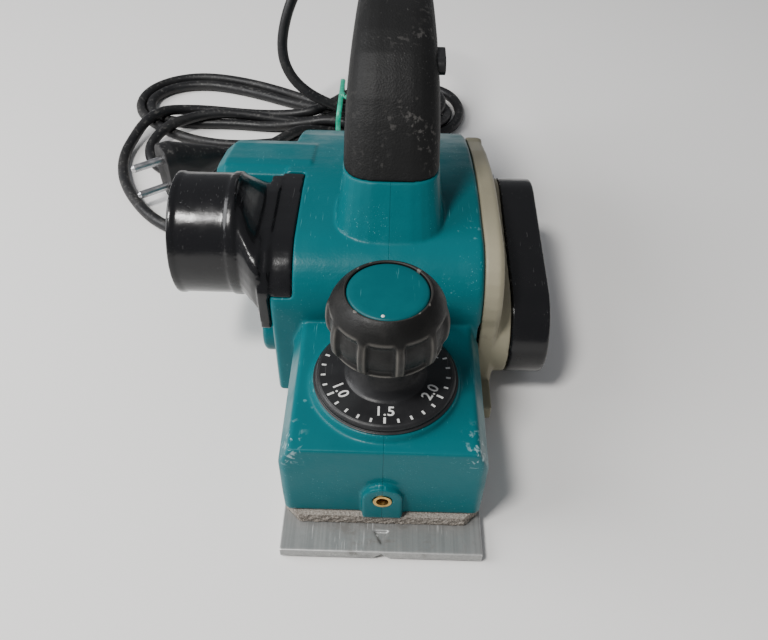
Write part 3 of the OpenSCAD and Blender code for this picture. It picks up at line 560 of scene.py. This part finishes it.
def even(points, step):
    """The same line with points an equal step apart."""
    seg = np.linalg.norm(np.diff(points, axis=0), axis=1)
    s = np.concatenate([[0], np.cumsum(seg)])
    n = max(2, int(round(s[-1] / step)) + 1)
    t = np.linspace(0, s[-1], n)
    return np.stack([np.interp(t, s, points[:, k]) for k in range(3)], axis=1)


# ---- mains cord ----------------------------------------------------------------------------

# the cord's route in mm: out of the guard, round the tied hank, and on to the plug
CORD_D = 7.0
CORD_STEP = 3.5
LEAD = [
    (0, 108.3, 132), (-1, 120, 136), (-6, 134, 138), (-18, 146, 136), (-34, 151, 127),
    (-50, 148, 112), (-63, 141, 94), (-72, 134, 76), (-76, 128, 58), (-73, 123, 41),
    (-64, 119, 26)]
HANK = [
    # first right fold
    (-52, 117, 19), (-35, 119, 14), (-16, 116, 8), (4, 111, 5), (26, 112, 4), (44, 124, 4),
    (51, 144, 4), (47, 168, 4), (32, 184, 4), (12, 184, 4), (-8, 170, 4), (-22, 154, 4), (-37, 146, 4),
    # first left fold, round the outside
    (-54, 152, 4), (-76, 166, 4), (-110, 182, 4), (-148, 190, 4), (-176, 178, 4), (-187, 154, 4),
    (-178, 130, 4), (-158, 110, 5), (-133, 98, 7), (-106, 94, 7), (-78, 99, 4), (-54, 107, 4), (-37, 113, 4),
    # second right fold
    (-18, 112, 6), (4, 108, 10), (26, 113, 11), (40, 130, 11), (40, 152, 11), (26, 170, 11),
    (4, 172, 11), (-16, 156, 11), (-37, 142, 11),
    # second left fold
    (-58, 146, 11), (-84, 158, 10), (-114, 171, 9), (-144, 178, 8), (-170, 170, 8), (-182, 149, 8),
    (-172, 128, 8), (-146, 121, 9), (-112, 124, 8), (-80, 121, 6), (-56, 119, 8), (-37, 118, 10),
    # third right fold
    (-14, 111, 11), (10, 109, 12), (33, 123, 12), (38, 147, 12), (24, 169, 12), (-2, 169, 11),
    (-22, 152, 8), (-40, 136, 5),
    # third left fold
    (-62, 126, 4), (-88, 124, 5), (-114, 126, 8), (-140, 120, 9), (-158, 106, 8), (-166, 87, 5),
    (-159, 67, 4), (-140, 57, 4), (-118, 63, 4), (-97, 79, 4), (-76, 95, 4), (-56, 111, 5), (-37, 121, 5),
    # fourth right fold, then out to the tail
    (-14, 117, 6), (9, 115, 8), (32, 128, 10), (37, 151, 11), (22, 171, 11), (-3, 170, 11),
    (-22, 155, 11), (-38, 141, 11), (-62, 132, 11), (-100, 136, 13), (-136, 138, 14), (-162, 128, 13),
    (-175, 113, 8)]
TAIL = [
    (-177, 99, 4.5), (-180, 84, 3.5), (-178, 66, 3.5), (-171, 47, 3.5), (-160, 29, 3.5),
    (-146, 13, 3.5), (-130, 2, 3.5), (-112, -3, 3.5), (-93, -3, 3.5), (-76, 3, 3.5),
    (-64, 14, 3.5), (-58, 30, 4), (-60, 46, 6), (-69, 58, 10), (-82, 64.5, 14.5), (-96, 64, 18.5),
    (-108, 58.4, 20)]


def spread(v, times):
    """Evens out neighbouring values, in place."""
    for _ in range(times):
        v[1:-1] = 0.5 * v[1:-1] + 0.25 * (v[:-2] + v[2:])
    return v


def settle(points, hold, d, rounds):
    """Lowers the turns on to the floor, pushes them towards d apart and eases their tight bends.

    Strands may still press into each other a little where they cross.
    """
    home = points.copy()
    p = points.copy()
    n = len(p)
    near = int(math.ceil(2.8 * d / float(np.linalg.norm(p[1] - p[0]))))
    i, j = np.triu_indices(n, near)
    free = (1 - hold)[:, None]
    span = 4  # points to each side over which a bend's sag is measured
    sag_limit = 2.9  # mm of sag beyond which a bend is eased harder
    for r in range(rounds):
        q = p.copy()
        q[:, 2] -= 0.16 * (1 - 0.7 * r / rounds)
        q[1:-1] += 0.4 * ((p[:-2] + p[2:]) / 2 - p[1:-1])
        bow = (p[:-2 * span] + p[2 * span:]) / 2 - p[span:-span]
        tight = np.clip(np.linalg.norm(bow, axis=1) - sag_limit, 0, 3)[:, None]
        q[span:-span] += bow * (0.14 * np.array([0.1, 0.1, 1.0]) + 0.22 * tight)
        q[:, :2] += 0.04 * (home - p)[:, :2]
        p += free * (q - p)
        gap = p[j] - p[i]
        dist = np.linalg.norm(gap, axis=1)
        hit = dist < d
        if hit.any():
            a, b, g, l = i[hit], j[hit], gap[hit], np.maximum(dist[hit], 1e-6)
            g = g * np.array([0.8, 0.8, 1.3])
            g[:, 2] += np.where(np.abs(g[:, 2]) < 0.5, np.where(home[b, 2] >= home[a, 2], 0.6, -0.6), 0)
            g /= np.linalg.norm(g, axis=1)[:, None]
            push = 0.42 * (d - l)[:, None] * g
            count = np.zeros(n)
            move = np.zeros_like(p)
            np.add.at(move, a, -push)
            np.add.at(move, b, push)
            np.add.at(count, a, 1)
            np.add.at(count, b, 1)
            move /= np.maximum(count, 1)[:, None] ** 0.5
            p += free * 1.7 * spread(move, 6)
        p[:, 2] = np.maximum(p[:, 2], d / 2 + 0.05)
    return p


route = even(smooth_line(LEAD + HANK + TAIL, 12), CORD_STEP)
# the lead in the air, the cord's two ends and the tail stay where the route puts them
hold = ((route[:, 2] > 40) | (np.arange(len(route)) < 12)).astype(float)
tail_start = int(np.argmin(np.linalg.norm(route - np.array(TAIL[3]), axis=1)))
hold[tail_start:] = 1
hold = spread(hold, 60)
hold[:10] = hold[-10:] = 1
settle_rounds = 300
cord_path = settle(route, hold, CORD_D + 0.15, settle_rounds)
cord_path = even(cord_path, CORD_STEP)

curve = bpy.data.curves.new("mains_cord", "CURVE")
curve.dimensions = "3D"
curve.bevel_depth = CORD_D / 2 * MM
curve.bevel_resolution = 4
curve.use_fill_caps = True
spline = curve.splines.new("POLY")
spline.points.add(len(cord_path) - 1)
for point, c in zip(spline.points, cord_path):
    point.co = (*(c * MM), 1)
spline.use_smooth = True
cord = bpy.data.objects.new("mains_cord", curve)
bpy.context.collection.objects.link(cord)
finish_piece(cord, CABLE, "machine", "cord_rubber", "cord_lead", "cord_hank", "cord_tail")


# ---- tie round the cord --------------------------------------------------------------------

def tube(name, path, radius, sides=10, flat=1.0, closed=False):
    """A round or flattened wire along a path of points in mm."""
    p = np.array(path, float)
    n = len(p)
    ahead = np.roll(p, -1, 0) - np.roll(p, 1, 0) if closed else np.gradient(p, axis=0)
    verts, faces = [], []
    wide = Vector((1, 0, 0))
    for k in range(n):
        t = Vector(ahead[k]).normalized()
        wide = (wide - wide.dot(t) * t).normalized()
        thin = t.cross(wide)
        for q in range(sides):
            a = 2 * math.pi * q / sides
            verts.append((Vector(p[k]) + radius * (flat * math.cos(a) * wide + math.sin(a) * thin)) * MM)
    for k in range(n if closed else n - 1):
        for q in range(sides):
            m = (k + 1) % n
            faces.append((k * sides + q, k * sides + (q + 1) % sides,
                          m * sides + (q + 1) % sides, m * sides + q))
    if not closed:
        faces += [tuple(range(sides - 1, -1, -1)), tuple((n - 1) * sides + q for q in range(sides))]
    return mesh_object(name, verts, faces)


TIE_X = -37
TIE_ROOM = 4.6
TIE_SQUARENESS = 0.55
in_tie = (np.abs(cord_path[:, 0] - TIE_X) < 3) & (cord_path[:, 1] > 90) & (cord_path[:, 2] < 40)
strands = cord_path[in_tie]
tie_low, tie_high = strands[:, 1].min() - TIE_ROOM, strands[:, 1].max() + TIE_ROOM
tie_top = strands[:, 2].max() + 4.7
tie_mid = (tie_low + tie_high) / 2


def tie_point(a):
    """A point of the tie's rounded oblong loop round the strands."""
    y = math.copysign(abs(math.cos(a)) ** TIE_SQUARENESS, math.cos(a)) * (tie_high - tie_low) / 2
    z = math.copysign(abs(math.sin(a)) ** TIE_SQUARENESS, math.sin(a)) * (tie_top - 1.0) / 2
    return (TIE_X + 1.2 * math.sin(a), tie_mid + y, (tie_top + 1.0) / 2 + z)


loop = tube("tie_loop", [tie_point(2 * math.pi * k / 90) for k in range(90)], 0.8, 10, 2.2, True)
finish_piece(loop, TIE, "machine", "green_tie", "cord_tie")
for letter, side in (("a", 0), ("b", math.pi)):
    tail = [(TIE_X + 2 + 0.62 * k + 1.1 * math.cos(side + 0.85 * k), tie_mid - 6 - 0.9 * k,
             tie_top + 1.4 + 0.12 * k + 1.1 * math.sin(side + 0.85 * k)) for k in range(20)]
    twist = tube("tie_twist_" + letter, smooth_line(tail, 3), 0.85)
    finish_piece(twist, TIE, "machine", "green_tie")


plug = shaped(["plug_body"], CABLE, 0.0005, 3)[0]


# ---- floor ---------------------------------------------------------------------------------

floor_mat = Mat("floor", (0.88, 0.87, 0.855), 0.55, specular=0.3)
floor_mat.tint(floor_mat.step(floor_mat.noise(1.2, 3), 0.3, 0.8, (0, 0.5)), (0.83, 0.815, 0.79))
floor_mat.raise_by(floor_mat.noise(220, 4), 0.00004)
floor = mesh_object("floor", [(-6, -6, 0), (6, -6, 0), (6, 6, 0), (-6, 6, 0)], [(0, 1, 2, 3)], False)
dress(floor, floor_mat.done())


# ---- housing and covers --------------------------------------------------------------------

shaped(["housing_left", "housing_right"], TEAL, 0.0007, 6, True, "housing_skin")
shaped(["grip_left", "grip_right"], GRIP, 0.0008, 6, True, "grip_skin")
shaped(["chip_nozzle"], GLOSS, 0.0007, 5)
shaped(["belt_cover"], BELT_GLOSS, 0.0007, 5)
shaped(["side_cover"], CREAM, 0.0008, 5)
shaped(["front_shoe"], SHOE, 0.0004, 2)
shaped(["cord_guard"], CABLE, 0.0005, 3)
shaped(["lock_button"], SATIN, 0.0004, 4)
shaped(["trigger"], SATIN, 0.0006, 4)


# ---- knob and dial -------------------------------------------------------------------------

KNOB_AT = (0, -156, 0)
FLUTES = 10
PRINT_Z = 60.4
TICKS = 30
TICK_TURN = 12
LONG_TICK_EVERY = 5
NUMBER_R = 20.4


def between(x, low, high):
    t = min(max((x - low) / (high - low), 0), 1)
    return t * t * (3 - 2 * t)


def pocketed(a, r, z):
    """The knob's radius with a shallow pocket between each two of its ridges."""
    share = (a * FLUTES / (2 * math.pi) + 0.15) % 1
    off = abs(share - 0.5) * 2
    depth = 2.1 * (1 - between(off, 0.60, 0.86)) * between(z, 81.2, 83.8) * (1 - between(z, 94.5, 98.5))
    ridge = 0.2 * between(off, 0.8, 1.0) * between(z, 82, 84) * (1 - between(z, 96, 99))
    return r - depth + ridge


knob_line = smooth_line([(9.2, 0, 75.6), (13.5, 0, 76.6), (17.2, 0, 78.2), (19.2, 0, 79.6), (21.3, 0, 81.2),
                         (22.8, 0, 83.6), (23.3, 0, 87), (23.3, 0, 90.5), (22.9, 0, 94), (21.9, 0, 97.6),
                         (20.2, 0, 100.8), (18.1, 0, 103.4), (16.6, 0, 104.7), (15.9, 0, 104.9),
                         (15.5, 0, 104.3), (15.5, 0, 102.1)], 5)
knob = turned_shape("knob_skin", KNOB_AT, [(p[0], p[2]) for p in knob_line], 300, pocketed)
finish_piece(knob, KNOB, "knob", "black_grip", "knob_grip")

cap_line = [(0.02, 105.0), (6, 104.98), (12, 104.85), (14.2, 104.7), (14.9, 104.4), (15.25, 103.9),
            (15.3, 102.2)]
cap = turned_shape("cap_skin", KNOB_AT, cap_line)
finish_piece(cap, CAP, "knob", "teal_plastic", "knob_cap")
# A small white disc near the cap's front rim: a painted glint of light on the cap
painted_glint = turned_shape("cap_painted_glint", (-1.6, -169.2, 0), [(0.02, 105.0), (0.5, 104.95), (0.7, 104.75)], 14)
finish_piece(painted_glint, PRINT, "knob", "teal_plastic")

dial_line = smooth_line([(5.2, 0, 57.6), (27.6, 0, 57.6), (28.15, 0, 57.9), (28.3, 0, 58.4), (28.2, 0, 59.1),
                         (27.6, 0, 59.9), (26.9, 0, 60.3), (25.8, 0, 60.4), (17.6, 0, 60.4), (16.2, 0, 60.7),
                         (14.9, 0, 61.9), (13.4, 0, 64.2), (12.4, 0, 67.5), (11.6, 0, 71), (9.2, 0, 75.4),
                         (9.0, 0, 79)], 4)
dial = turned_shape("dial_skin", KNOB_AT, [(p[0], p[2]) for p in dial_line], 160)
finish_piece(dial, SATIN, "knob", "black_plastic", "depth_dial")


def tick_marks():
    verts, faces = [], []
    for k in range(TICKS):
        a = math.radians(270 + TICK_TURN * k)
        inner, half = (23.2, 0.46) if k % LONG_TICK_EVERY == 0 else (24.2, 0.42)
        along, across = Vector((math.cos(a), math.sin(a), 0)), Vector((-math.sin(a), math.cos(a), 0))
        base = len(verts)
        for z in (PRINT_Z - 0.05, PRINT_Z + 0.06):
            for r, s in ((inner, -half), (26.0, -half), (26.0, half), (inner, half)):
                p = Vector((0, KNOB_AT[1], z)) + along * r + across * s
                verts.append(p * MM)
        faces += [(base + 4, base + 5, base + 6, base + 7)]
        faces += [(base + i, base + (i + 1) % 4, base + 4 + (i + 1) % 4, base + 4 + i) for i in range(4)]
    return mesh_object("dial_ticks", verts, faces, False)


finish_piece(tick_marks(), PRINT, "knob", "black_plastic")


def dial_number(label, turn):
    text = bpy.data.curves.new("number", "FONT")
    text.body = label
    text.size = 6.2 * MM
    text.align_x = "CENTER"
    text.align_y = "CENTER"
    text.extrude = 0.05 * MM
    text.offset = 0.08 * MM
    text.space_character = 1.05
    o = bpy.data.objects.new("number", text)
    bpy.context.collection.objects.link(o)
    a = math.radians(270 + turn)
    place = Vector((NUMBER_R * math.cos(a), KNOB_AT[1] + NUMBER_R * math.sin(a), PRINT_Z + 0.03)) * MM
    o.matrix_world = Matrix.Translation(place) @ Matrix.Rotation(math.radians(turn), 4, "Z")
    bpy.context.view_layer.update()
    me = bpy.data.meshes.new_from_object(o.evaluated_get(bpy.context.evaluated_depsgraph_get()))
    me.transform(o.matrix_world)
    name = "dial_number_" + label.replace(".", "_")
    out = bpy.data.objects.new(name, me)
    bpy.context.collection.objects.link(out)
    bpy.data.objects.remove(o)
    return finish_piece(out, PRINT, "knob", "black_plastic")


for label, turn in (("1.5", 0), ("2.0", 60), ("2.5", 120), ("0", 180), ("0.5", 240), ("1.0", 300)):
    dial_number(label, turn)


# ---- foam seal -----------------------------------------------------------------------------

def foam_seal():
    low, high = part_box("foam_seal")
    bm = bmesh.new()
    bm.from_mesh(nodes["foam_seal"].data)
    me = bpy.data.meshes.new("foam_skin")
    bm.to_mesh(me)
    bm.free()
    o = bpy.data.objects.new("foam_skin", me)
    bpy.context.collection.objects.link(o)
    remesh = o.modifiers.new("remesh", "REMESH")
    remesh.mode = "VOXEL"
    remesh.voxel_size = 0.0005
    apply_modifiers(o)
    rng = np.random.default_rng(7)
    n = len(o.data.vertices)
    co = np.empty(n * 3)
    o.data.vertices.foreach_get("co", co)
    co = co.reshape(-1, 3)
    mid = (low[2] + high[2]) / 2
    side = np.abs(co[:, 2] - mid) < (high[2] - low[2]) / 2 - 0.0004
    normal = np.empty(n * 3)
    o.data.vertices.foreach_get("normal", normal)
    normal = normal.reshape(-1, 3)
    crumb = rng.normal(0, 0.00016, n)
    crumb += 0.00025 * np.sin(co[:, 0] * 900 + 3 * np.sin(co[:, 1] * 400)) * np.sin(co[:, 2] * 1700)
    co[side] += normal[side] * crumb[side][:, None]
    o.data.vertices.foreach_set("co", co.ravel())
    o.data.polygons.foreach_set("use_smooth", [True] * len(o.data.polygons))
    dress(o, FOAM)
    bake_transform(o)
    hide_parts("foam_seal")


foam_seal()


def coil_spring(name, centre, radius, wire, low, high, turns):
    """A wound wire between the body below it and the machine."""
    per_turn = 24
    steps = per_turn * turns
    path = []
    for k in range(steps + 1):
        a = 2 * math.pi * k / per_turn
        path.append((centre[0] + radius * math.cos(a), centre[1] + radius * math.sin(a),
                     low + wire + (high - low - 2 * wire) * k / steps))
    o = tube(name + "_wire", path, wire, 10)
    dress(o, STEEL)
    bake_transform(o)
    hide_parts(name)


coil_spring("depth_spring", KNOB_AT[:2], 8, 0.9, 26.1, 41.9, 4)
coil_spring("trigger_spring", (0, -12.5), 1.95, 0.35, 123.8, 130.4, 6)
